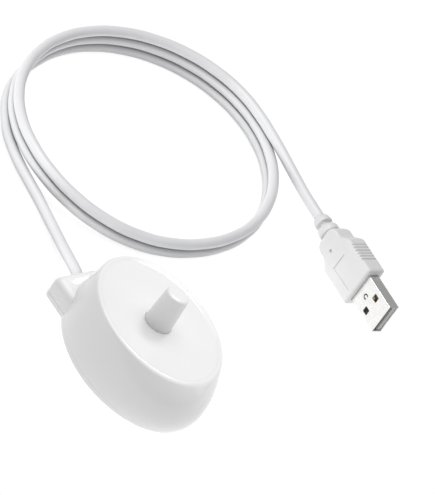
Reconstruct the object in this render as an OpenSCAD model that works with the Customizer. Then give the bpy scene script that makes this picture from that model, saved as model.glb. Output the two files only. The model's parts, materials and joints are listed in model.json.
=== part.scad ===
// Inductive toothbrush charger: an oval base with a charging post, a coiled cord and a USB-A plug.
// Origin on the floor under the post's axis, +Z up, the oval's long axis along Y.

/* [Base] */
// Width of the oval at its foot
base_w = 48.8; // [47:0.2:50]
// From the post's axis to the rear of the foot
rear_l = 32.4; // [31:0.1:33]
// From the post's axis to the front of the foot
front_l = 31.1; // [30:0.1:32]
// Width of the oval at its rim
rim_w = 45.1; // [44:0.1:46]
// From the post's axis to the rear of the rim
rim_rear_l = 28.5; // [28:0.1:29.5]
// From the post's axis to the front of the rim
rim_front_l = 28.9; // [28:0.1:29.5]
// How far the front wall bellies out at half height
front_belly = 3.7; // [0:0.1:4]
// Height of the rim above the floor
rim_h = 21; // [20.5:0.5:23]
// Depth of the dished top below the rim
dish_depth = 1.4; // [1.2:0.1:2]
// Wall thickness of the housing
wall = 1.8; // [1.4:0.1:2]
// Height of the seam between the cover and the housing
seam_h = 2.4; // [2.2:0.1:2.6]

/* [Post] */
// Diameter of the post where it leaves the dish
post_foot_d = 9.7; // [9.6:0.1:10.2]
// Diameter of the post at its tip
post_tip_d = 8.4; // [8.3:0.1:9]
// Height of the post above the dish
post_rise = 13.5; // [13:0.1:15]

/* [Cord] */
// Outer diameter of the cord
cord_d = 3.75; // [3.6:0.05:3.8]
// Length of the oval loop, along the middle of the cord
loop_l = 115.6; // [114.6:0.5:116.6]
// Width of the oval loop, along the middle of the cord
loop_w = 92; // [90:1:92]
// Angle from +X to the loop's long axis
loop_angle = 35.5; // [35:0.5:36]

/* [Plug] */
// Width of the metal shell
shell_w = 12; // [12:0.1:12.1]
// Thickness of the metal shell
shell_t = 4.5; // [4.5:0.1:4.6]
// Length of metal shell outside the grip
shell_out = 14; // [12:0.5:15]
// Thickness of the grip
grip_t = 8; // [7.6:0.1:8.2]

/* [Hidden] */

eps = 0.01;
oval_sides = 64;
floor_gap = 0.4;
recess_t = 0.8;
cover_inset = 0.05;

// Wall of the base: levels of its foot and rim, and its smaller bellies
wall_low = 0.6;
wall_high = 20.3;
side_belly = 0.7;
rear_belly = 0.2;
rim_edge = 0.85;
lip_w = 1.4;
lip_drop = 0.35;

// Board, bobbin and post levels above the floor
board_z = 4.8;
board_t = 1.2;
board_top = board_z + board_t;
board_w = 27;
board_l = 36;
standoff_x = 10.5;
standoff_y = 15;
standoff_d = 4;
core_z = 3;
core_d = 5.8;
bobbin_d = 7.8;
flange_d = 17.6;
flange_t = 1;
winding_top = 14.3;
dish_z = rim_h - dish_depth;
post_top = dish_z + post_rise;
roof_t = 2;
post_hole_d = post_foot_d + 0.3;
post_flange_t = 0.7;
post_wall = 1.7;
core_h = post_top - post_wall - core_z - 0.9;

// Cord exit: the bore runs along +Y through the spout's end wall
exit_x = -12.2;
exit_z = 5.5;
pocket_start = 16;
pocket_y = 27.3;
pocket_top = 7.9;
clamp_y = 20.4;
clamp_l = 4;
clamp_w = 6.4;
clamp_z = 2.8;
clamp_h = 3.8;
bore_d = 6;
grommet_bore_d = cord_d + 0.5;

// Loop of the cord
loop_x = 40.8;
loop_y = 106;
leave_q = -19.65;
top_start_q = 155;

// Middle line of the cord from the clamp to the loop
lead_in_route = [[-12.2, 21.5, 5.5], [-12.2, 26, 5.5], [-12.2, 30, 5.5], [-12.1, 34, 5.4],
                 [-11.8, 40, 4.5], [-11.5, 46, 3.5], [-11.4, 52, 2.8], [-11.5, 58, 2.3],
                 [-11.8, 64, 2], [-12.3, 70, 1.88], [-13.2, 76, 1.88], [-14.1, 82, 1.88],
                 [-14.7, 88, 1.88], [-14.8, 94, 1.88], [-14.4, 100, 1.88]];
// Middle line of the cord from the loop to the plug
lead_out_route = [[94.1, 125, 9.4], [95.5, 118, 9.3], [96.8, 111, 9.1], [97.9, 104, 8.8],
                  [99, 97, 8.5], [100, 90, 8.4], [101.1, 84.5, 8.4], [102, 80.3, 8.4]];

// Plug: +X runs out of the mouth, Y across its thickness, Z across its width
grip_half_w = 8.4;
plug_at = [108.9, 47.8, grip_half_w];
plug_turn = -78;
shell_wall = 0.3;
shell_in = 6;
mould_rear = 11;
mould_front = 1.4;
mould_wall = 0.6;
window_x = 7.1;
window_z = 3.1;
window_w = 2.3;
dimple_x = 3.5;
tongue_t = 1.9;
contact_zs = [-3.5, -1, 1, 3.5];
contact_l = 12.4;
contact_w = 1.2;
contact_t = 0.15;

// Oval outline from [half width, rear half length, front half length]
function oval(size) = [for (i = [0 : oval_sides - 1])
    let (q = i * 360 / oval_sides)
    [size[0] * cos(q), (sin(q) > 0 ? size[1] : size[2]) * sin(q)]];

// Share of the way up the wall at height z, and how much of its belly shows there
function climb(z) = (z - wall_low) / (wall_high - wall_low);
function belly(z) = 4 * climb(z) * (1 - climb(z));

// Size of the wall's oval at height z, moved in by inset
function wall_size(z, inset) = [
    base_w / 2 + (rim_w - base_w) / 2 * climb(z) + side_belly * belly(z) - inset,
    rear_l + (rim_rear_l - rear_l) * climb(z) + rear_belly * belly(z) - inset,
    front_l + (rim_front_l - front_l) * climb(z) + front_belly * belly(z) - inset];

// Closed solid through a stack of ovals, each [size, height]
module oval_stack(ovals) {
    n = oval_sides;
    m = len(ovals);
    points = [for (s = ovals) for (p = oval(s[0])) [p[0], p[1], s[1]]];
    lower = [for (i = [0 : n - 1]) i];
    upper = [for (i = [n - 1 : -1 : 0]) (m - 1) * n + i];
    sides = [for (k = [0 : m - 2]) for (i = [0 : n - 1])
        let (a = k * n + i, b = k * n + (i + 1) % n)
        each [[a, a + n, b], [b, a + n, b + n]]];
    polyhedron(points, concat([lower], [upper], sides));
}

// Oval of the dish at fraction f of the way out from the post hole, lowered by drop
function dish_oval(f, drop) =
    let (hub = post_hole_d / 2 - 0.5, rim = wall_size(rim_h, rim_edge + lip_w))
    [[for (r = rim) hub + (r - hub) * f], dish_z + (dish_depth - lip_drop) * f * f - drop];

// Eight-sided tube swept along a route, with one flat side down
module cord_tube(route, d) {
    n = 8;
    m = len(route);
    r = d / 2 / cos(180 / n);
    function along(k) = route[min(k + 1, m - 1)] - route[max(k - 1, 0)];
    function unit(v) = v / norm(v);
    points = [for (k = [0 : m - 1])
        let (t = unit(along(k)), side = unit(cross(t, [0, 0, 1])), up = cross(side, t))
        for (i = [0 : n - 1])
        let (q = (i + 0.5) * 360 / n)
        route[k] + r * cos(q) * side + r * sin(q) * up];
    sides = [for (k = [0 : m - 2]) for (i = [0 : n - 1])
        let (a = k * n + i, b = k * n + (i + 1) % n)
        each [[a, b, a + n], [b, b + n, a + n]]];
    near = [for (i = [n - 1 : -1 : 0]) i];
    far = [for (i = [0 : n - 1]) (m - 1) * n + i];
    polyhedron(points, concat([near], [far], sides));
}

// Outline of the cord spout at the -X, +Y corner, seen from above
module spout_outline() {
    corner = [-21, 24.8];
    corner_r = 3;
    polygon(concat(
        [[-12, 8], [-18, 8], [-21, 14.2]],
        [for (q = [195 : -10 : 105]) corner + corner_r * [cos(q), sin(q)]],
        [[-8.6, 31.3], [-4, 31.5], [0, 24]]));
}

// Spout up to its roof, which steps up over the cord
module spout(z) {
    intersection() {
        translate([0, 0, z]) linear_extrude(12) spout_outline();
        translate([0, 40, 0]) rotate([90, 0, 0]) linear_extrude(40)
            polygon([[-30, 0], [-30, 8.5], [-17.4, 8.7], [-14.8, 9.7], [-12.2, 10.7], [0, 10.9], [0, 0]]);
    }
}

module top_housing() {
    color("white") difference() {
        union() {
            oval_stack(concat(
                [for (z = [seam_h, 4, 6.5, 9, 11.5, 14, 16.5, 18.5, rim_h - rim_edge]) [wall_size(z, 0), z]],
                [[wall_size(rim_h, 0.25), rim_h - 0.25], [wall_size(rim_h, rim_edge), rim_h]],
                [for (f = [1, 0.75, 0.5, 0.25, 0]) dish_oval(f, 0)]));
            spout(seam_h);
        }
        oval_stack(concat(
            [for (z = [seam_h - 1, 9, rim_h - 3.5]) [wall_size(z, wall), z]],
            [for (f = [0.92, 0.6, 0.3, 0]) dish_oval(f, roof_t)]));
        translate([0, 0, dish_z - 5]) cylinder(d = post_hole_d, h = 10, $fn = 64);
        translate([exit_x - clamp_w / 2 - 0.2, pocket_start, seam_h - 1])
            cube([clamp_w + 0.4, pocket_y - pocket_start, pocket_top - seam_h + 1]);
        translate([exit_x, pocket_y - 1, exit_z]) rotate([-90, 0, 0]) cylinder(d = bore_d, h = 8, $fn = 48);
    }
}

module bottom_cover() {
    color("white") difference() {
        union() {
            oval_stack([for (z = [floor_gap, seam_h]) [wall_size(z, cover_inset), z]]);
            translate([0, 0, floor_gap]) linear_extrude(seam_h - floor_gap) spout_outline();
            translate([0, 0, seam_h]) linear_extrude(1.1) difference() {
                polygon(oval(wall_size(seam_h, wall + 0.5)));
                polygon(oval(wall_size(seam_h, wall + 1.7)));
            }
            for (x = [-1, 1], y = [-1, 1])
                translate([x * standoff_x, y * standoff_y, seam_h])
                    cylinder(d = standoff_d, h = board_z - seam_h, $fn = 32);
            translate([0, 0, seam_h]) cylinder(d = 10, h = core_z - seam_h, $fn = 48);
            translate([exit_x - clamp_w / 2, clamp_y, seam_h]) cube([clamp_w, clamp_l, clamp_z - seam_h]);
        }
        translate([0, 0, floor_gap - 1]) linear_extrude(1 + recess_t) polygon(oval([16, 21, 21]));
        for (s = [-1, 1])
            translate([s * standoff_x, s * standoff_y, seam_h - 0.6])
                cylinder(d = 1.8, h = 5, $fn = 24);
    }
}

module rubber_pad() {
    color("dimgray") linear_extrude(floor_gap + recess_t) polygon(oval([15.9, 20.9, 20.9]));
}

module charging_post() {
    edge = 1.1;
    under = dish_z - roof_t;
    color("white") rotate_extrude($fn = 72) polygon([
        [post_foot_d / 2 - post_wall, under - post_flange_t],
        [post_foot_d / 2 + 1.8, under - post_flange_t],
        [post_foot_d / 2 + 1.8, under],
        [post_foot_d / 2, under],
        [post_foot_d / 2, dish_z],
        [post_tip_d / 2, post_top - edge],
        [post_tip_d / 2 - 0.3, post_top - 0.3],
        [post_tip_d / 2 - edge, post_top],
        [0, post_top],
        [0, post_top - post_wall],
        [post_tip_d / 2 - 1.25, post_top - post_wall]]);
}

module ferrite_core() {
    color("dimgray") translate([0, 0, core_z]) cylinder(d = core_d, h = core_h, $fn = 48);
}

module coil_bobbin() {
    color("ivory") difference() {
        union() {
            translate([0, 0, core_z]) cylinder(d = bobbin_d, h = winding_top + flange_t - core_z, $fn = 48);
            for (z = [board_top, winding_top])
                translate([0, 0, z]) cylinder(d = flange_d, h = flange_t, $fn = 64);
        }
        translate([0, 0, core_z - 1]) cylinder(d = core_d + 0.1, h = 20, $fn = 48);
    }
}

module primary_coil() {
    z = board_top + flange_t;
    color("peru") translate([0, 0, z]) difference() {
        cylinder(d = flange_d - 1, h = winding_top - z, $fn = 64);
        translate([0, 0, -1]) cylinder(d = bobbin_d, h = 20, $fn = 48);
    }
}

module circuit_board() {
    color("darkgreen") difference() {
        translate([-board_w / 2, -board_l / 2, board_z]) cube([board_w, board_l, board_t]);
        translate([0, 0, board_z - 1]) cylinder(d = bobbin_d + 0.4, h = 4, $fn = 48);
        for (s = [-1, 1])
            translate([s * standoff_x, s * standoff_y, board_z - 1]) cylinder(d = 2.2, h = 4, $fn = 24);
    }
}

module controller_chip() {
    color("black") translate([-10.5, -13, board_top]) cube([5, 4, 1.6]);
}

module switching_transistors() {
    color("black") for (y = [-12.5, -9])
        translate([6, y, board_top]) cube([3, 1.6, 1.1]);
}

module smoothing_capacitor() {
    color("silver") translate([0, -13.4, board_top]) cylinder(d = 6.3, h = 7.8, $fn = 48);
}

module resonant_capacitor() {
    color("goldenrod") translate([-3.5, 11.2, board_top]) cube([9, 4.4, 6.5]);
}

module chip_components() {
    color("tan") for (i = [0 : 3], side = [-1, 1])
        translate([side * 11.4 - 0.4, i * 2.4 - 5, board_top]) cube([0.8, 1.6, 0.6]);
}

module small_screws() {
    color("silver") for (s = [-1, 1])
        translate([s * standoff_x, s * standoff_y, 0]) {
            translate([0, 0, seam_h - 0.4]) cylinder(d = 1.8, h = board_top - seam_h + 0.4, $fn = 24);
            translate([0, 0, board_top]) cylinder(d = 3.6, h = 1.3, $fn = 32);
        }
}

module cord_grommet() {
    color("white") difference() {
        translate([exit_x, pocket_y - 1, exit_z]) rotate([-90, 0, 0]) rotate_extrude($fn = 48)
            polygon([[0, 0], [3.5, 0], [3.5, 1], [2.95, 1], [2.95, 3.3], [2.6, 3.6], [0, 3.6]]);
        translate([exit_x, 20, exit_z]) rotate([-90, 0, 0]) cylinder(d = grommet_bore_d, h = 15, $fn = 48);
        translate([exit_x - 5, 20, 0]) cube([10, 9.5, 2.6]);
    }
}

module cord_clamp() {
    color("white") difference() {
        translate([exit_x - clamp_w / 2, clamp_y, clamp_z]) cube([clamp_w, clamp_l, clamp_h]);
        translate([exit_x, clamp_y - 1, exit_z]) rotate([-90, 0, 0])
            cylinder(d = grommet_bore_d, h = clamp_l + 2, $fn = 48);
    }
}

module lead_red() {
    color("red") cord_tube([[-12.7, 21.5, 6.2], [-12.5, 20.2, 6.9], [-12, 18.6, 7.4], [-11, 17, 7.2],
                            [-10, 16, 6.6]], 1);
}

module lead_black() {
    color("black") cord_tube([[-11.4, 21.5, 6.2], [-11, 20.2, 6.9], [-10, 18.6, 7.4], [-8.4, 17, 7.2],
                              [-7, 16, 6.6]], 1);
}

module cord_lead_in() {
    color("whitesmoke") cord_tube(lead_in_route, cord_d);
}

// Point on the loop's middle line, moved out by w, in the loop's own axes
function loop_point(q, w) =
    let (nx = cos(q) / (loop_l / 2), ny = sin(q) / (loop_w / 2), k = w / norm([nx, ny]))
    [loop_l / 2 * cos(q) + k * nx, loop_w / 2 * sin(q) + k * ny];

// Flat band one cord wide along the loop, from angle q0 to angle q1
module loop_band(q0, q1, steps) {
    qs = [for (i = [0 : steps]) q0 + (q1 - q0) * i / steps];
    polygon(concat([for (q = qs) loop_point(q, cord_d / 2)],
                   [for (i = [steps : -1 : 0]) loop_point(qs[i], -cord_d / 2)]));
}

module cord_coil() {
    color("whitesmoke") translate([loop_x, loop_y, 0]) rotate([0, 0, loop_angle]) union() {
        linear_extrude(2 * cord_d) difference() {
            polygon([for (q = [0 : 5 : 355]) loop_point(q, cord_d / 2)]);
            polygon([for (q = [0 : 5 : 355]) loop_point(q, -cord_d / 2)]);
        }
        translate([0, 0, 2 * cord_d - eps])
            linear_extrude(cord_d + eps) loop_band(leave_q, top_start_q, 35);
    }
}

module cord_lead_out() {
    color("whitesmoke") cord_tube(lead_out_route, cord_d);
}

module at_plug() {
    translate(plug_at) rotate([0, 0, plug_turn]) children();
}

// Space of the inner mould inside the grip
module mould_block() {
    translate([-mould_rear, -shell_t / 2 - mould_wall, -shell_w / 2 - mould_wall])
        cube([mould_rear - mould_front, shell_t + 2 * mould_wall, shell_w + 2 * mould_wall]);
}

// Half the outline of the grip's broad side, from its mouth to its neck
grip_profile = [[-0.4, grip_half_w - 0.9], [-1.2, grip_half_w], [-8, grip_half_w - 0.1], [-14.8, 8],
                [-16.6, 7.1], [-18.2, 6], [-19.6, 5.5], [-22.2, 5.4], [-23.4, 4.7], [-24.4, 3.6]];

module plug_overmould() {
    last = len(grip_profile) - 1;
    color("white") at_plug() difference() {
        union() {
            translate([0, grip_t / 2, 0]) rotate([90, 0, 0]) linear_extrude(grip_t)
                polygon(concat(grip_profile,
                               [for (i = [last : -1 : 0]) [grip_profile[i][0], -grip_profile[i][1]]]));
            rotate([0, -90, 0]) rotate_extrude($fn = 48) polygon([
                [0, 20], [3.2, 20], [3.2, 25], [3.7, 25.3], [3.7, 27.1], [3.3, 27.6], [2.5, 27.8],
                [2.5, 29.6], [3.1, 29.8], [3.1, 30.6], [2.8, 31.8], [2.3, 32.6], [0, 32.6]]);
        }
        mould_block();
        translate([-2, -shell_t / 2, -shell_w / 2]) cube([3, shell_t, shell_w]);
    }
}

module plug_inner_mould() {
    color("gainsboro") at_plug() difference() {
        mould_block();
        translate([-shell_in, -shell_t / 2, -shell_w / 2]) cube([8, shell_t, shell_w]);
    }
}

module plug_shell() {
    color("silver") at_plug() difference() {
        translate([-shell_in, -shell_t / 2, -shell_w / 2]) cube([shell_in + shell_out, shell_t, shell_w]);
        translate([-shell_in - 1, -shell_t / 2 + shell_wall, -shell_w / 2 + shell_wall])
            cube([shell_in + shell_out + 2, shell_t - 2 * shell_wall, shell_w - 2 * shell_wall]);
        for (z = [-window_z, window_z])
            translate([window_x, 0, z]) cube([window_w, 10, window_w], center = true);
        translate([dimple_x, -5, 0]) rotate([-90, 0, 0]) cylinder(d = 1.3, h = 4, $fn = 32);
    }
}

module plug_tongue() {
    inner_t = shell_t - 2 * shell_wall;
    inner_w = shell_w - 2 * shell_wall;
    color("whitesmoke") at_plug() difference() {
        union() {
            translate([-shell_in, inner_t / 2 - tongue_t, -inner_w / 2])
                cube([shell_in + shell_out - 0.4, tongue_t, inner_w]);
            translate([-shell_in, -inner_t / 2, -inner_w / 2]) cube([shell_in, inner_t, inner_w]);
        }
        for (z = contact_zs)
            translate([0, inner_t / 2 - tongue_t - 1, z - contact_w / 2])
                cube([contact_l, 1 + contact_t, contact_w]);
    }
}

module plug_contacts() {
    inner_t = shell_t - 2 * shell_wall;
    color("gold") at_plug() for (z = contact_zs)
        translate([0, inner_t / 2 - tongue_t, z - contact_w / 2]) cube([contact_l, contact_t, contact_w]);
}

top_housing();
bottom_cover();
rubber_pad();
charging_post();
ferrite_core();
coil_bobbin();
primary_coil();
circuit_board();
controller_chip();
switching_transistors();
smoothing_capacitor();
resonant_capacitor();
chip_components();
small_screws();
cord_grommet();
cord_clamp();
lead_red();
lead_black();
cord_lead_in();
cord_coil();
cord_lead_out();
plug_overmould();
plug_inner_mould();
plug_shell();
plug_tongue();
plug_contacts();
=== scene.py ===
"""Inductive toothbrush charger with a coiled cord and a USB-A plug, in metres, in the CAD model's frame."""

import json
import math

import bmesh
import bpy
from mathutils import Matrix, Vector


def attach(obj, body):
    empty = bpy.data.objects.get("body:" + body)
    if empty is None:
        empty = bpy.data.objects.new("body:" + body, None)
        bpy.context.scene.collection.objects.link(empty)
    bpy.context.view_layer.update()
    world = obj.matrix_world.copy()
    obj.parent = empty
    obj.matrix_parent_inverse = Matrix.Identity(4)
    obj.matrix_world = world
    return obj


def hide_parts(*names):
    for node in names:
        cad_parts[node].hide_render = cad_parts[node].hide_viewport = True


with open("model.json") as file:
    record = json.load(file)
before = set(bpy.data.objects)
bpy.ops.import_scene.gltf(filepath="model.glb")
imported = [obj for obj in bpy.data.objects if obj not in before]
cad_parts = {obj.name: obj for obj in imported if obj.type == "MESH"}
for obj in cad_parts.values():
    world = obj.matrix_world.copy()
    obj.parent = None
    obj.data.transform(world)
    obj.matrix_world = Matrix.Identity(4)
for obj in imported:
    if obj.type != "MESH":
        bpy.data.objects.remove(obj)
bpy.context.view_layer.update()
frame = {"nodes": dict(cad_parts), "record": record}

# Lengths are in millimetres, except for the camera and the lights, which are in metres; angles are in degrees
MM = 0.001
BODY = "root"

# Camera
CAMERA_AZIMUTH = -41.576
CAMERA_ELEVATION = 32.57
CAMERA_ROLL = 36.085
CAMERA_DISTANCE = 2.0
CAMERA_RIGHT = 0.02872
CAMERA_UP = 0.03738
CAMERA_LENS = 450.5

# Base
RIM_Z = 21.0
SEAM_Z = 2.4
COVER_Z = 0.4
DISH_Z = 19.6
WALL = 1.8
TOP_WALL = 2.0
FLOOR_TOP_Z = 2.0
HOLE_R = 5.0

# Wall outline, each as half width, rear half length and front half length
WALL_FOOT_Z = 0.6
WALL_RISE = 19.7
WALL_FOOT = (24.4, 32.4, 31.1)
WALL_TAPER = (1.85, 3.9, 2.2)
WALL_BELLY = (0.7, 0.2, 3.7)

# Cord spout: plan corners as (x, y, radius)
SPOUT_CORNERS = [(-17.0, 9.0, 3.2), (-21.0, 14.2, 3.2), (-24.6, 26.9, 3.0), (-8.6, 31.3, 6.0),
                 (-3.0, 31.3, 2.5), (0.0, 24.0, 2.5), (-6.0, 12.0, 2.5)]
SPOUT_MIDDLE = (-13.0, 22.0)
SPOUT_FILLET = 2.7
SHARP_FILLET = 0.12
ROOF_LOW = 8.7
ROOF_STEP = 1.9
ROOF_STEP_X = -17.4
ROOF_STEP_RUN = 5.2
ROOF_SLOPE = 0.02
BORE_X = -12.2
BORE_Y = 26.3
BORE_Z = 5.5
BORE_R = 3.0

# Pad and its recess
RECESS_HALF = (16.0, 21.0)
RECESS_DEPTH = 1.2
PAD_HALF = (15.9, 20.9)
PAD_TOP = 1.18
PAD_GROOVES = 5

# Charging post
POST_FOOT_R = 4.85
POST_TIP_R = 4.2
POST_TOP = 33.1

# Cord
CORD_D = 3.75
CORD_R = CORD_D / 2
# Painted shade between the cord's turns: how far it reaches and how dark the colour gets
CREASE_SHADE_REACH = 8.0
CREASE_SHADE_DARKEST = 0.3
LOOP_CENTRE = (40.8, 106.0)
LOOP_HALF = (57.8, 46.0)
LOOP_TURN = 35.5

# Plug: its own axes run out of the mouth, across the thickness and across the width
PLUG_AT = (108.9, 47.8, 8.4)
PLUG_TURN = -78.0
SHELL_W = 12.0
SHELL_T = 4.5
SHELL_SHEET = 0.3
SHELL_OUT = 14.0
SHELL_IN = 6.0
WINDOW_X = (5.95, 8.25)
WINDOW_Z = 3.1
WINDOW_HALF_W = 1.15
RING_X = 3.5
RING_OUTER_R = 1.05
RING_INNER_R = 0.6
CONTACT_Z = (-3.5, -1.0, 1.0, 3.5)
GRIP_FRONT = -0.4
GRIP_HALF_T = 4.0
GRIP_HALF_W = 8.4
GRIP_START = -24.65
RIB_FIRST = -12.8
RIB_PITCH = 1.34
RIB_COUNT = 6
RIB_DEPTH = 0.45
LINE_X = -12.7
LINE_Z = -3.75
LINE_DEPTH = 0.55
GATE_X = -18.2
GATE_Z = -0.9
GATE_DEPTH = 0.9


# ---------------------------------------------------------------- camera, floor and light


def make_camera():
    """Camera of the photo, aimed from its azimuth and elevation, then rolled and shifted."""
    azimuth = math.radians(CAMERA_AZIMUTH)
    elevation = math.radians(CAMERA_ELEVATION)
    roll = math.radians(CAMERA_ROLL)
    reach = math.cos(elevation)
    back = Vector((math.sin(azimuth) * reach, -math.cos(azimuth) * reach, math.sin(elevation)))
    level = Vector((0, 0, 1)).cross(back).normalized()
    rise = back.cross(level)
    right = math.cos(roll) * level + math.sin(roll) * rise
    up = -math.sin(roll) * level + math.cos(roll) * rise
    data = bpy.data.cameras.new("camera")
    data.sensor_width = 36
    data.lens = CAMERA_LENS
    data.clip_start = 0.1
    data.clip_end = 20
    camera = bpy.data.objects.new("camera", data)
    place = back * CAMERA_DISTANCE + right * CAMERA_RIGHT + up * CAMERA_UP
    turn = Matrix((right, up, back)).transposed().to_4x4()
    camera.matrix_world = Matrix.Translation(place) @ turn
    bpy.context.collection.objects.link(camera)
    bpy.context.scene.camera = camera


def named_group(name, objects):
    """Collection that light linking reads."""
    group = bpy.data.collections.new(name)
    for obj in objects:
        group.objects.link(obj)
    return group


def make_light(name, place, target, size, watts, receivers, blockers=None):
    """Round soft light on the receivers only, blocked by everything or by the blockers, if any are given."""
    data = bpy.data.lights.new(name, "AREA")
    data.shape = "DISK"
    data.size = size
    data.energy = watts
    light = bpy.data.objects.new(name, data)
    light.location = place
    aim = Vector(target) - Vector(place)
    light.rotation_euler = aim.to_track_quat("-Z", "Y").to_euler()
    bpy.context.collection.objects.link(light)
    light.light_linking.receiver_collection = named_group(name + "_receivers", receivers)
    if blockers is not None:
        light.light_linking.blocker_collection = named_group(name + "_blockers", blockers)


def make_stage(corded):
    """Floor, even surround and soft lights; the floor, the base and the cord have lights of their own."""
    base = [obj for obj in bpy.context.scene.objects if obj.type == "MESH" and obj not in corded]
    floor_gap = 0.00002
    bpy.ops.mesh.primitive_plane_add(size=6, location=(0, 0, -floor_gap))
    floor = bpy.context.object
    floor.name = "floor"
    material, shader = new_material("floor_paper", (0.95, 0.95, 0.95), 0.9)
    shader.inputs["Specular IOR Level"].default_value = 0.0
    floor.data.materials.append(material)
    world = bpy.data.worlds.new("studio")
    world.use_nodes = True
    background = world.node_tree.nodes["Background"]
    background.inputs["Color"].default_value = (1, 1, 1, 1)
    background.inputs["Strength"].default_value = 0.37
    bpy.context.scene.world = world
    middle = (0.04, 0.06, 0)
    above = (0.1, 0.3, 1.8)
    make_light("floor_wash", above, middle, 2.4, 34, [floor], [floor])
    make_light("overhead", above, middle, 2.4, 24.5, base)
    make_light("base_rear", (0.74, 0.84, 1.66), middle, 0.6, 9, base)
    make_light("base_side", (1.0, -0.3, 0.35), middle, 0.5, 0.5, base)
    make_light("cord_key", (-0.7, 0.42, 1.35), middle, 0.9, 13.5, corded)
    make_light("cord_side", (-1.1, 0.0, 0.35), middle, 0.6, 2, corded)
    view = bpy.context.scene.view_settings
    view.view_transform = "Standard"
    view.look = "None"


# ---------------------------------------------------------------- materials


def new_material(name, colour, roughness, metallic=0.0):
    """New material and its main shader."""
    material = bpy.data.materials.new(name)
    material.use_nodes = True
    shader = material.node_tree.nodes["Principled BSDF"]
    shader.inputs["Base Color"].default_value = (*colour, 1)
    shader.inputs["Roughness"].default_value = roughness
    shader.inputs["Metallic"].default_value = metallic
    return material, shader


def add_noise(material, scale):
    """Noise in the object's own space, so it stays on the piece."""
    nodes, links = material.node_tree.nodes, material.node_tree.links
    place = nodes.new("ShaderNodeTexCoord")
    noise = nodes.new("ShaderNodeTexNoise")
    noise.inputs["Scale"].default_value = scale
    noise.inputs["Detail"].default_value = 3.0
    links.new(place.outputs["Object"], noise.inputs["Vector"])
    return noise


def vary_colour(material, shader, low, high, scale):
    """Lets the colour drift between low and high."""
    nodes, links = material.node_tree.nodes, material.node_tree.links
    noise = add_noise(material, scale)
    ramp = nodes.new("ShaderNodeValToRGB")
    ramp.color_ramp.elements[0].position = 0.3
    ramp.color_ramp.elements[1].position = 0.7
    ramp.color_ramp.elements[0].color = (*low, 1)
    ramp.color_ramp.elements[1].color = (*high, 1)
    links.new(noise.outputs["Fac"], ramp.inputs["Fac"])
    links.new(ramp.outputs["Color"], shader.inputs["Base Color"])


def vary_roughness(material, shader, low, high, scale):
    """Lets the roughness drift between low and high."""
    nodes, links = material.node_tree.nodes, material.node_tree.links
    noise = add_noise(material, scale)
    spread = nodes.new("ShaderNodeMapRange")
    spread.inputs["To Min"].default_value = low
    spread.inputs["To Max"].default_value = high
    links.new(noise.outputs["Fac"], spread.inputs["Value"])
    links.new(spread.outputs["Result"], shader.inputs["Roughness"])


def add_bump(material, shader, scale, distance, strength):
    """Fine uneven skin, whose depth is distance in metres."""
    nodes, links = material.node_tree.nodes, material.node_tree.links
    noise = add_noise(material, scale)
    bump = nodes.new("ShaderNodeBump")
    bump.inputs["Strength"].default_value = strength
    bump.inputs["Distance"].default_value = distance
    links.new(noise.outputs["Fac"], bump.inputs["Height"])
    links.new(bump.outputs["Normal"], shader.inputs["Normal"])


def paint_crease_shade(material, shader, reach, darkest):
    """Paints shade into the colour where surfaces lie close together, as between the turns of a cord: ambient
    occlusion darkens the colour.
    """
    nodes, links = material.node_tree.nodes, material.node_tree.links
    colour = shader.inputs["Base Color"].links[0].from_socket
    # Painted shade: ambient occlusion scales the colour down in creases
    crease_shade = nodes.new("ShaderNodeAmbientOcclusion")
    crease_shade.inputs["Distance"].default_value = reach
    spread = nodes.new("ShaderNodeMapRange")
    spread.inputs["To Min"].default_value = darkest
    product = nodes.new("ShaderNodeVectorMath")
    product.operation = "SCALE"
    links.new(crease_shade.outputs["AO"], spread.inputs["Value"])
    links.new(colour, product.inputs["Vector"])
    links.new(spread.outputs["Result"], product.inputs["Scale"])
    links.new(product.outputs["Vector"], shader.inputs["Base Color"])


def plastic(name, low, high, roughness, grain, grain_depth):
    """Moulded plastic: faint colour drift, uneven gloss and a fine skin."""
    material, shader = new_material(name, high, roughness)
    shader.inputs["IOR"].default_value = 1.5
    vary_colour(material, shader, low, high, 45)
    vary_roughness(material, shader, roughness * 0.85, roughness * 1.15, 160)
    add_bump(material, shader, grain, grain_depth, 0.5)
    return material


def metal(name, low, high, roughness, grain, grain_depth):
    """Bare metal: faint colour drift, uneven gloss and a fine grain."""
    material, shader = new_material(name, high, roughness, 1.0)
    vary_colour(material, shader, low, high, 300)
    vary_roughness(material, shader, roughness * 0.7, roughness * 1.4, 500)
    add_bump(material, shader, grain, grain_depth, 0.3)
    return material


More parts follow.
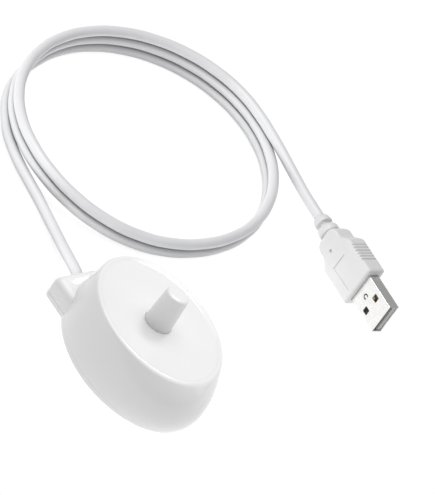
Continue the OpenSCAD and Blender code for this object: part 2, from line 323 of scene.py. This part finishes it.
MATERIALS = {
    "white_abs": plastic("gloss_abs", (0.84, 0.842, 0.84), (0.86, 0.86, 0.858), 0.11, 700, 0.000004),
    "post_abs": plastic("gloss_post_abs", (0.85, 0.851, 0.85), (0.87, 0.87, 0.868), 0.16, 700, 0.000004),
    "pad_rubber": plastic("pad_rubber", (0.22, 0.22, 0.23), (0.27, 0.27, 0.28), 0.75, 2500, 0.00008),
    "cord_pvc": plastic("cord_jacket", (0.83, 0.83, 0.85), (0.87, 0.87, 0.885), 0.38, 1800, 0.00002),
    "plug_pvc": plastic("plug_pvc", (0.77, 0.77, 0.78), (0.81, 0.81, 0.815), 0.45, 2600, 0.00003),
    "grommet_pvc": plastic("grommet_pvc", (0.8, 0.8, 0.81), (0.84, 0.84, 0.85), 0.45, 2000, 0.00002),
    "clamp_nylon": plastic("clamp_nylon", (0.8, 0.79, 0.77), (0.86, 0.85, 0.83), 0.5, 1200, 0.00002),
    "bobbin_nylon": plastic("bobbin_nylon", (0.7, 0.66, 0.55), (0.79, 0.75, 0.65), 0.5, 1200, 0.00002),
    "plug_inner": plastic("plug_inner", (0.66, 0.66, 0.65), (0.72, 0.72, 0.71), 0.55, 1500, 0.00003),
    "tongue_plastic": plastic("tongue_plastic", (0.5, 0.5, 0.495), (0.58, 0.58, 0.57), 0.4, 2000, 0.00002),
    "chip_black": plastic("chip_black", (0.02, 0.02, 0.021), (0.04, 0.04, 0.042), 0.5, 4000, 0.00003),
    "ferrite": plastic("ferrite", (0.06, 0.06, 0.065), (0.11, 0.11, 0.115), 0.6, 3000, 0.00005),
    "film_yellow": plastic("film_yellow", (0.72, 0.5, 0.1), (0.8, 0.58, 0.14), 0.25, 800, 0.00002),
    "ceramic_tan": plastic("ceramic_tan", (0.5, 0.41, 0.3), (0.66, 0.56, 0.43), 0.5, 4000, 0.00002),
    "board_green": plastic("board_mask", (0.035, 0.17, 0.075), (0.06, 0.24, 0.11), 0.35, 1500, 0.00003),
    "lead_red": plastic("lead_red", (0.55, 0.03, 0.03), (0.66, 0.06, 0.05), 0.4, 1500, 0.00002),
    "lead_black": plastic("lead_black", (0.02, 0.02, 0.02), (0.04, 0.04, 0.04), 0.4, 1500, 0.00002),
    "copper_wire": metal("copper_wire", (0.62, 0.28, 0.14), (0.75, 0.38, 0.2), 0.35, 3000, 0.0001),
    "can_aluminium": metal("can_aluminium", (0.7, 0.71, 0.72), (0.8, 0.81, 0.82), 0.3, 1500, 0.00002),
    "screw_steel": metal("screw_steel", (0.55, 0.55, 0.56), (0.66, 0.66, 0.66), 0.35, 2000, 0.00002),
    "plug_nickel": metal("plug_nickel", (0.83, 0.825, 0.815), (0.89, 0.885, 0.875), 0.26, 2500, 0.00001),
    "contact_gold": metal("contact_gold", (0.78, 0.58, 0.25), (0.88, 0.7, 0.36), 0.25, 2500, 0.00001),
}


# ---------------------------------------------------------------- mesh helpers


def finish_piece(obj, slot, *nodes, sharp=30.0):
    """Gives a piece its material, its shading, its body and the CAD nodes it stands for."""
    obj.data.materials.clear()
    obj.data.materials.append(MATERIALS[slot])
    obj.data.shade_smooth()
    obj.data.set_sharp_from_angle(angle=math.radians(sharp))
    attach(obj, BODY)
    if nodes:
        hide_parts(*nodes)
    return obj


def new_object(name, points, faces):
    """Closed mesh from points in millimetres."""
    mesh = bpy.data.meshes.new(name)
    mesh.from_pydata([Vector(p) * MM for p in points], [], faces)
    edit = bmesh.new()
    edit.from_mesh(mesh)
    bmesh.ops.recalc_face_normals(edit, faces=edit.faces)
    edit.to_mesh(mesh)
    edit.free()
    obj = bpy.data.objects.new(name, mesh)
    bpy.context.collection.objects.link(obj)
    return obj


def loft(name, rings, closed=False):
    """Skin over equal rings of points: capped at both ends, or closed on itself."""
    n = len(rings[0])
    points = [p for ring in rings for p in ring]
    faces = []
    count = len(rings) if closed else len(rings) - 1
    for k in range(count):
        near, far = k * n, (k + 1) % len(rings) * n
        for i in range(n):
            j = (i + 1) % n
            faces.append((near + i, near + j, far + j, far + i))
    if not closed:
        faces.append(tuple(range(n)))
        faces.append(tuple(range((len(rings) - 1) * n, len(rings) * n)))
    return new_object(name, points, faces)


def combine(obj, other, operation):
    """Boolean of obj with other, which is used up."""
    modifier = obj.modifiers.new("combine", "BOOLEAN")
    modifier.operation = operation
    modifier.solver = "EXACT"
    modifier.object = other
    graph = bpy.context.evaluated_depsgraph_get()
    mesh = bpy.data.meshes.new_from_object(obj.evaluated_get(graph))
    obj.modifiers.clear()
    obj.data = mesh
    bpy.data.objects.remove(other)
    return obj


def arc(radius, start, end, steps):
    """Points of an arc about the origin, from start to end in degrees."""
    angles = [math.radians(start + (end - start) * i / steps) for i in range(steps + 1)]
    return [(radius * math.cos(a), radius * math.sin(a)) for a in angles]


def smooth_step(x):
    """0 up to x = 0, 1 from x = 1, and a smooth rise between."""
    x = min(max(x, 0.0), 1.0)
    return x * x * (3 - 2 * x)


def oval_ring(half_w, rear, front, z, segments=160):
    """Oval with its own half length towards +Y and towards -Y."""
    angles = [2 * math.pi * i / segments for i in range(segments)]
    return [(half_w * math.cos(a), (rear if math.sin(a) > 0 else front) * math.sin(a), z) for a in angles]


def wall_size(z):
    """Half width, rear half length and front half length of the wall, whose front end bellies out."""
    s = (z - WALL_FOOT_Z) / WALL_RISE
    swell = 4 * s * (1 - s)
    parts = zip(WALL_FOOT, WALL_TAPER, WALL_BELLY)
    return [foot - taper * s + belly * swell for foot, taper, belly in parts]


def wall_ring(z, inset):
    """Outline of the wall at height z, moved in by inset."""
    half_w, rear, front = (size - inset for size in wall_size(z))
    return oval_ring(half_w, rear, front, z)


def lathe(name, profile, segments=96, centre=(0, 0), closed=False):
    """Turned solid from [radius, height] points."""
    x, y = centre
    angles = [2 * math.pi * i / segments for i in range(segments)]
    rings = []
    for r, z in profile:
        rings.append([(x + r * math.cos(a), y + r * math.sin(a), z) for a in angles])
    return loft(name, rings, closed)


def rounded_outline(corners, inset=0.0, steps=10):
    """Outline through convex corners, each (x, y, radius), clockwise from above, moved in by inset."""
    points = []
    n = len(corners)
    for i, (x, y, radius) in enumerate(corners):
        here = Vector((x, y))
        before = (Vector(corners[i - 1][:2]) - here).normalized()
        after = (Vector(corners[(i + 1) % n][:2]) - here).normalized()
        half = before.angle(after) / 2
        centre = here + (before + after).normalized() * (radius / math.sin(half))
        start = here + before * (radius / math.tan(half)) - centre
        end = here + after * (radius / math.tan(half)) - centre
        sweep = start.angle_signed(end)
        reach = max(radius - inset, 0.01)
        for k in range(steps + 1):
            turn = Matrix.Rotation(-sweep * k / steps, 2)
            points.append(centre + turn @ start.normalized() * reach)
    return points


# ---------------------------------------------------------------- cord


def cord_points():
    """Middle line of the cord in millimetres: lead-in, stacked oval turns, lead-out to the plug."""
    lead_in = [(-12.2, 27.6, 5.5), (-12.2, 30, 5.5), (-12.1, 34, 5.4), (-11.8, 40, 4.5), (-11.5, 46, 3.5),
               (-11.4, 52, 2.8), (-11.5, 58, 2.3), (-11.8, 64, 2), (-12.3, 70, 1.88), (-13.2, 76, 1.88),
               (-14.1, 82, 1.88), (-14.7, 88, 1.88), (-14.8, 94, 1.88), (-14.4, 100, 1.88)]
    lead_out = [(95.5, 118, 9.3), (96.8, 111, 9.1), (97.9, 104, 8.8), (99, 97, 8.5), (100, 90, 8.4),
                (101.1, 84.5, 8.4), (102, 80.3, 8.4), (102.4, 78.4, 8.4)]
    first_angle = 138.0
    last_angle = -739.65
    angle_step = 15.0
    climb_start = -125.0
    climb_run = 80.0
    loose_start = 95.0
    loose_run = 30.0
    loose_gap = 0.9
    turn = math.radians(LOOP_TURN)
    loop = []
    count = round((first_angle - last_angle) / angle_step)
    for i in range(count + 1):
        angle = first_angle + (last_angle - first_angle) * i / count
        loose = loose_gap * smooth_step((angle - loose_start) / loose_run)
        along = (LOOP_HALF[0] + loose) * math.cos(math.radians(angle))
        across = (LOOP_HALF[1] + loose) * math.sin(math.radians(angle))
        climbs = sum(smooth_step((climb_start - 360 * n - angle) / climb_run) for n in (0, 1))
        loop.append((LOOP_CENTRE[0] + along * math.cos(turn) - across * math.sin(turn),
                     LOOP_CENTRE[1] + along * math.sin(turn) + across * math.cos(turn),
                     CORD_R + CORD_D * climbs))
    return lead_in + loop + lead_out


def make_cord():
    """Round tube along the cord's middle line, with shade painted into its colour where its turns lie
    together.
    """
    points = cord_points()
    data = bpy.data.curves.new("cord", "CURVE")
    data.dimensions = "3D"
    data.resolution_u = 10
    data.bevel_depth = CORD_R * MM
    data.bevel_resolution = 6
    data.use_fill_caps = True
    spline = data.splines.new("BEZIER")
    spline.bezier_points.add(len(points) - 1)
    for knot, point in zip(spline.bezier_points, points):
        knot.co = Vector(point) * MM
        knot.handle_left_type = knot.handle_right_type = "AUTO"
    cord = bpy.data.objects.new("cord", data)
    bpy.context.collection.objects.link(cord)
    material = MATERIALS["cord_pvc"]
    shader = material.node_tree.nodes["Principled BSDF"]
    # Painted shade: the cord's colour is darkened where its turns lie close together
    paint_crease_shade(material, shader, CREASE_SHADE_REACH * MM, CREASE_SHADE_DARKEST)
    data.materials.append(material)
    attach(cord, BODY)
    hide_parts("cord_lead_in", "cord_coil", "cord_lead_out")
    return cord


# ---------------------------------------------------------------- base


def spout_roof(x):
    """Height of the spout's roof, which steps up softly over the cord."""
    past = x - ROOF_STEP_X
    return ROOF_LOW + ROOF_STEP * smooth_step(past / ROOF_STEP_RUN) + ROOF_SLOPE * past


def spout_block(name, low, low_fillet, top_fillet, roof):
    """Cord spout as a rounded block on its plan outline, from height low up to roof(x)."""
    rings = []
    for out, rise in arc(low_fillet, -90, 0, 5):
        outline = rounded_outline(SPOUT_CORNERS, low_fillet - out)
        rings.append([(p.x, p.y, low + low_fillet + rise) for p in outline])
    for out, rise in arc(top_fillet, 0, 90, 10):
        outline = rounded_outline(SPOUT_CORNERS, top_fillet - out)
        rings.append([(p.x, p.y, roof(p.x) - top_fillet + rise) for p in outline])
    middle = Vector(SPOUT_MIDDLE)
    for k in range(1, 12):
        points = [p + (middle - p) * (k / 12) for p in outline]
        rings.append([(p.x, p.y, roof(p.x)) for p in points])
    return loft(name, rings)


def box_piece(name, low, high):
    """Box between two opposite corners."""
    x0, y0, z0 = low
    x1, y1, z1 = high
    rings = [[(x0, y0, z), (x1, y0, z), (x1, y1, z), (x0, y1, z)] for z in (z0, z1)]
    return loft(name, rings)


def into_bore(obj):
    """Turns a piece lathed round Z so that it runs along +Y from the start of the spout's bore."""
    place = Matrix.Translation(Vector((BORE_X, BORE_Y, BORE_Z)) * MM)
    obj.data.transform(place @ Matrix.Rotation(-math.pi / 2, 4, "X"))
    return obj


def make_housing():
    """Closed shell from the seam up the wall, over the rim, down the dish, and back along the inside."""
    edge = 0.85
    lip = 0.35
    rim_flat = 1.4
    dish_curve = 1.7
    hole_edge = 0.25
    rings = [wall_ring(SEAM_Z, 0.4), wall_ring(SEAM_Z + 0.01, 0.06), wall_ring(SEAM_Z + 0.05, 0.01),
             wall_ring(SEAM_Z + 0.2, 0.0)]
    rings += [wall_ring(SEAM_Z + 0.2 + 0.9 * k, 0.0) for k in range(1, 20)]
    rings += [wall_ring(RIM_Z - edge + rise, edge - out) for out, rise in arc(edge, 0, 90, 10)]
    rings += [wall_ring(RIM_Z - 0.02, edge + 0.3), wall_ring(RIM_Z - 0.1, edge + 0.6),
              wall_ring(RIM_Z - 0.22, edge + 0.95), wall_ring(RIM_Z - lip, edge + rim_flat)]
    rim = [size - edge - rim_flat for size in wall_size(RIM_Z)]
    inner = HOLE_R + hole_edge

    def dish(f, drop):
        """Ring of the dish from the hole (f = 0) to the rim (f = 1), lowered by drop."""
        sizes = [inner + (size - inner) * f for size in rim]
        return oval_ring(*sizes, DISH_Z + (RIM_Z - lip - DISH_Z) * f ** dish_curve - drop)

    rings += [dish(1 - k / 20, 0) for k in range(1, 21)]
    for out, rise in arc(hole_edge, 70, 0, 4):
        rings.append(oval_ring(inner - out, inner - out, inner - out, DISH_Z - hole_edge + rise))
    rings.append(oval_ring(HOLE_R, HOLE_R, HOLE_R, DISH_Z - TOP_WALL))
    rings += [dish(k / 9, TOP_WALL) for k in range(1, 9)]
    rings += [wall_ring(z, WALL) for z in (RIM_Z - 3.6, 12, 7, SEAM_Z)]
    housing = loft("housing_shell", rings, closed=True)
    combine(housing, spout_block("spout", SEAM_Z, SHARP_FILLET, SPOUT_FILLET, spout_roof), "UNION")
    combine(housing, box_piece("pocket", (-17.5, 16, 1), (-8, 27.3, 6.9)), "DIFFERENCE")
    combine(housing, into_bore(lathe("bore", [(BORE_R, 0), (BORE_R, 8)], 48)), "DIFFERENCE")
    return finish_piece(housing, "white_abs", "top_housing")


def make_cover():
    """Base tray with the spout's foot, the pad's recess, and the standoffs and core seat inside."""
    fillet = 0.35
    rings = []
    for out, rise in arc(fillet, -90, 0, 6):
        rings.append(wall_ring(COVER_Z + fillet + rise, 0.01 + fillet - out))
    rings += [wall_ring(SEAM_Z - 0.2, 0.01), wall_ring(SEAM_Z - 0.05, 0.02), wall_ring(SEAM_Z - 0.01, 0.06),
              wall_ring(SEAM_Z, 0.5)]
    cover = loft("base_cover", rings)
    foot = spout_block("spout_foot", COVER_Z, fillet, SHARP_FILLET, lambda x: SEAM_Z - 0.02)
    combine(cover, foot, "UNION")
    half_w, half_l = RECESS_HALF
    recess = loft("recess", [oval_ring(half_w, half_l, half_l, z) for z in (0, RECESS_DEPTH)])
    combine(cover, recess, "DIFFERENCE")
    for x in (-10.5, 10.5):
        for y in (-15, 15):
            combine(cover, lathe("standoff", [(2, FLOOR_TOP_Z), (2, 4.8)], 32, (x, y)), "UNION")
    combine(cover, lathe("core_seat", [(5, FLOOR_TOP_Z), (5, 3)], 48), "UNION")
    return finish_piece(cover, "white_abs", "bottom_cover")


def make_pad():
    """Rubber pad with shallow oval grooves in its underside."""
    edge = 0.3
    pitch = 2.7
    stretch = 5.2 / PAD_GROOVES
    half_w, half_l = PAD_HALF
    rings = [oval_ring(0.3, 0.4, 0.4, 0)]
    for k in range(1, PAD_GROOVES + 1):
        across = pitch * k
        along = pitch * k + stretch * k
        for grow, z in ((-0.5, 0), (-0.38, 0.25), (0.38, 0.25), (0.5, 0)):
            rings.append(oval_ring(across + grow, along + grow, along + grow, z))
    for out, rise in arc(edge, -90, 0, 4):
        rings.append(oval_ring(half_w - edge + out, half_l - edge + out, half_l - edge + out, edge + rise))
    rings.append(oval_ring(half_w, half_l, half_l, PAD_TOP))
    return finish_piece(loft("grip_pad", rings), "pad_rubber", "rubber_pad")


def make_post():
    """Hollow post with a flange under the dish and a collar that fills the hole."""
    edge = 1.2
    under = DISH_Z - TOP_WALL
    flange_r = POST_FOOT_R + 1.8
    profile = [(0.3, POST_TOP - 1.7), (POST_TIP_R - 1.3, POST_TOP - 1.7), (POST_FOOT_R - 1.7, under - 0.7),
               (flange_r, under - 0.7), (flange_r, under), (HOLE_R - 0.03, under),
               (HOLE_R - 0.03, DISH_Z - 0.3), (POST_FOOT_R, DISH_Z - 0.25), (POST_FOOT_R, DISH_Z)]
    taper = POST_TIP_R - POST_FOOT_R
    for k in range(1, 9):
        f = k / 9
        profile.append((POST_FOOT_R + taper * f, DISH_Z + (POST_TOP - edge - DISH_Z) * f))
    for out, rise in arc(edge, 0, 85, 10):
        profile.append((POST_TIP_R - edge + out, POST_TOP - 0.12 - edge + rise))
    profile += [(POST_TIP_R * 0.5, POST_TOP - 0.04), (POST_TIP_R * 0.25, POST_TOP - 0.01), (0.3, POST_TOP)]
    return finish_piece(lathe("post", profile), "post_abs", "charging_post")


def make_grommet():
    """Flanged sleeve that fills the spout's bore round the cord."""
    profile = [(3.5, 0), (3.5, 0.9), (2.95, 1.0), (2.95, 3.2), (2.85, 3.4), (2.6, 3.55), (2.3, 3.6),
               (2.1, 3.55), (1.98, 3.4), (1.95, 3.2), (1.95, 0)]
    grommet = into_bore(lathe("grommet", profile, 64, closed=True))
    return finish_piece(grommet, "grommet_pvc", "cord_grommet", sharp=40)


# ---------------------------------------------------------------- plug


def in_plug(obj):
    """Moves a mesh built in the plug's own axes to its place."""
    place = Matrix.Translation(Vector(PLUG_AT) * MM) @ Matrix.Rotation(math.radians(PLUG_TURN), 4, "Z")
    obj.data.transform(place)
    return obj


def section(x, half_t, half_w, radius, relief=None):
    """Rounded rectangle across the plug at x, pressed in by relief(x, y, z, ny, nz), which is a depth."""
    broad_steps = 64
    narrow_steps = 21
    corner_steps = 6
    flat_t = half_t - radius
    flat_w = half_w - radius
    points = []
    sides = ((1, 0, broad_steps), (0, 1, narrow_steps), (-1, 0, broad_steps), (0, -1, narrow_steps))
    for ny, nz, steps in sides:
        for k in range(steps):
            f = 2 * k / steps - 1
            if ny:
                points.append((ny * half_t, ny * flat_w * f, ny, nz))
            else:
                points.append((-nz * flat_t * f, nz * half_w, ny, nz))
        corner_y = (ny or -nz) * flat_t
        corner_z = (ny or nz) * flat_w
        start = math.atan2(nz, ny)
        for k in range(corner_steps):
            a = start + math.pi / 2 * k / corner_steps
            out_y = math.cos(a)
            out_z = math.sin(a)
            points.append((corner_y + radius * out_y, corner_z + radius * out_z, out_y, out_z))
    ring = []
    for y, z, ny, nz in points:
        depth = relief(x, y, z, ny, nz) if relief else 0.0
        ring.append((x, y - ny * depth, z - nz * depth))
    return ring


def table_value(table, x):
    """Smooth value at x from [x, value] stations."""
    for (x0, v0), (x1, v1) in zip(table, table[1:]):
        if x <= x1:
            return v0 + (v1 - v0) * smooth_step((x - x0) / (x1 - x0))
    return table[-1][1]


def bump_at(x, centre, half):
    """1 at the centre, falling smoothly to 0 at half either side."""
    return smooth_step(1 - abs(x - centre) / half)


def grip_relief(x, y, z, ny, nz):
    """Depth of the finger grooves, the engraved corner line and the gate mark."""
    depth = 0.0
    if abs(nz) > 0.7 and -15.5 < x < -5:
        groove = max(bump_at(x, RIB_FIRST + RIB_PITCH * k, 0.36) for k in range(RIB_COUNT))
        depth += RIB_DEPTH * min(1, groove * 1.5) * smooth_step((3.7 - abs(y)) / 0.5)
    if abs(ny) > 0.9:
        line = 0.0
        if -3.9 < z < 3.2:
            line = bump_at(x, LINE_X, 0.3)
        if -12.9 < x < -2.3:
            line = max(line, bump_at(z, LINE_Z, 0.34))
        depth += LINE_DEPTH * min(1, line * 1.5)
        spot = math.hypot(x - GATE_X, z - GATE_Z)
        depth += GATE_DEPTH * smooth_step((0.68 - spot) / 0.22)
    return depth


def neck_relief(x, y, z, ny, nz):
    """Slots between the rings of the strain relief, bridged at the four corners."""
    slot_back = -29.65
    slot_front = -28.0
    slot_depth = 1.3
    slot = smooth_step((x - slot_back) / 0.2) * smooth_step((slot_front - x) / 0.2)
    return slot_depth * slot * smooth_step((abs(abs(ny) - abs(nz)) - 0.25) / 0.12)


def make_grip():
    """Moulded grip: strain relief with rings, waist and body, front edge, and pocket for the shell."""
    half_w = [(-24.6, 3.3), (-24.2, 4.0), (-23.2, 4.8), (-22.2, 5.35), (-21.2, 5.45), (-19.6, 5.45),
              (-14.8, 8.25), (-8, 8.3), (-1.4, GRIP_HALF_W)]
    half_t = [(-24.6, 3.1), (-24.1, 3.6), (-23.2, 3.9), (-16, GRIP_HALF_T), (-1.4, GRIP_HALF_T)]
    neck = [(-32.7, 1.9), (-32.6, 2.2), (-32.3, 2.55), (-31.8, 2.8), (-31.2, 2.95), (-30.6, 3.1),
            (-30.1, 3.15), (-29.8, 3.1), (-29.7, 3.05), (-29.55, 3.0), (-29.4, 3.0), (-28.7, 3.0),
            (-28.1, 3.0), (-27.95, 3.05), (-27.8, 3.1), (-27.6, 3.25), (-27.4, 3.5), (-27.1, 3.65),
            (-26.2, 3.75), (-25.4, 3.75), (-25.15, 3.6), (-25.05, 3.1), (-25.0, 2.8), (-24.8, 2.8)]
    rings = [section(x, radius, radius, radius - 0.01, neck_relief) for x, radius in neck]
    edge = 1.0
    corner = 1.3
    x = GRIP_START
    while x < GRIP_FRONT - edge:
        rings.append(section(x, table_value(half_t, x), table_value(half_w, x), corner, grip_relief))
        x += 0.2
    for out, rise in arc(edge, 0, 90, 7):
        x = GRIP_FRONT - edge + rise
        inset = edge - out
        rings.append(section(x, GRIP_HALF_T - inset, GRIP_HALF_W - inset, corner - inset * 0.6))
    pocket = [(0, 2.5, 6.25, 0.5), (0.15, 2.37, 6.12, 0.4), (1, 2.37, 6.12, 0.4), (1, 2.85, 6.6, 0.4),
              (10.6, 2.85, 6.6, 0.4)]
    for back, half_thick, half_wide, radius in pocket:
        rings.append(section(GRIP_FRONT - back, half_thick, half_wide, radius))
    grip = in_plug(loft("plug_grip", rings))
    return finish_piece(grip, "plug_pvc", "plug_overmould", sharp=38)


def cut_both_sides(shell, outline):
    """Cuts an outline of (x, z) points through both broad sides of the shell."""
    for near, far in ((-4, -1.9), (1.9, 4)):
        cutter = loft("cutter", [[(x, y, z) for x, z in outline] for y in (near, far)])
        combine(shell, cutter, "DIFFERENCE")


def make_shell():
    """Folded metal shell with two latch windows and an open ring through each broad side."""
    half_t = SHELL_T / 2
    half_w = SHELL_W / 2
    step = 0.25
    count = round((SHELL_IN + SHELL_OUT) / step)
    stations = [-SHELL_IN + step * k for k in range(count)]
    outer = [section(x, half_t, half_w, 0.35) for x in stations]
    outer += [section(SHELL_OUT - 0.1, half_t - 0.05, half_w - 0.05, 0.3),
              section(SHELL_OUT, half_t - 0.13, half_w - 0.13, 0.25)]
    inner = [section(x, half_t - SHELL_SHEET, half_w - SHELL_SHEET, 0.15) for x in reversed(stations)]
    shell = loft("plug_case", outer + inner, closed=True)
    back, front = WINDOW_X
    for middle in (-WINDOW_Z, WINDOW_Z):
        low = middle - WINDOW_HALF_W
        high = middle + WINDOW_HALF_W
        corners = [(back, low, 0.25), (back, high, 0.25), (front, high, 0.25), (front, low, 0.25)]
        cut_both_sides(shell, [(p.x, p.y) for p in rounded_outline(corners, steps=4)])
    open_ring = arc(RING_OUTER_R, 35, 325, 30) + arc(RING_INNER_R, 325, 35, 30)
    cut_both_sides(shell, [(x + RING_X, z) for x, z in open_ring])
    return finish_piece(in_plug(shell), "plug_nickel", "plug_shell", sharp=35)


def bevelled_box(name, low, high, width):
    """Box between two opposite corners, with rounded edges."""
    box = box_piece(name, low, high)
    edit = bmesh.new()
    edit.from_mesh(box.data)
    bmesh.ops.bevel(edit, geom=list(edit.edges), offset=width * MM, segments=2, affect="EDGES")
    edit.to_mesh(box.data)
    edit.free()
    return box


def join(name, objects):
    """One object from several, which are used up."""
    edit = bmesh.new()
    for obj in objects:
        edit.from_mesh(obj.data)
        bpy.data.objects.remove(obj)
    mesh = bpy.data.meshes.new(name)
    edit.to_mesh(mesh)
    edit.free()
    obj = bpy.data.objects.new(name, mesh)
    bpy.context.collection.objects.link(obj)
    return obj


def make_tongue():
    """Insulator inside the shell and the four contact strips on it."""
    tongue = bevelled_box("plug_insulator", (-SHELL_IN, 0.05, -5.65), (13.5, 1.93, 5.65), 0.15)
    finish_piece(in_plug(tongue), "tongue_plastic", "plug_tongue")
    strips = [bevelled_box("strip", (-4, 0.0, z - 0.6), (12.4, 0.2, z + 0.6), 0.05) for z in CONTACT_Z]
    contacts = in_plug(join("plug_strips", strips))
    finish_piece(contacts, "contact_gold", "plug_contacts")
    return tongue, contacts


# ---------------------------------------------------------------- hidden parts


def dress_cad_nodes():
    """Gives every CAD node that stays its own material."""
    slots = {part["node"]: part["material_slot"] for part in frame["record"]["subparts"]}
    for name, node in frame["nodes"].items():
        node.data.materials.clear()
        node.data.materials.append(MATERIALS[slots[name]])


make_camera()
dress_cad_nodes()
cord = make_cord()
make_housing()
make_cover()
make_pad()
make_post()
make_grommet()
grip = make_grip()
case = make_shell()
insulator, strips = make_tongue()
make_stage([cord, grip, case, insulator, strips])
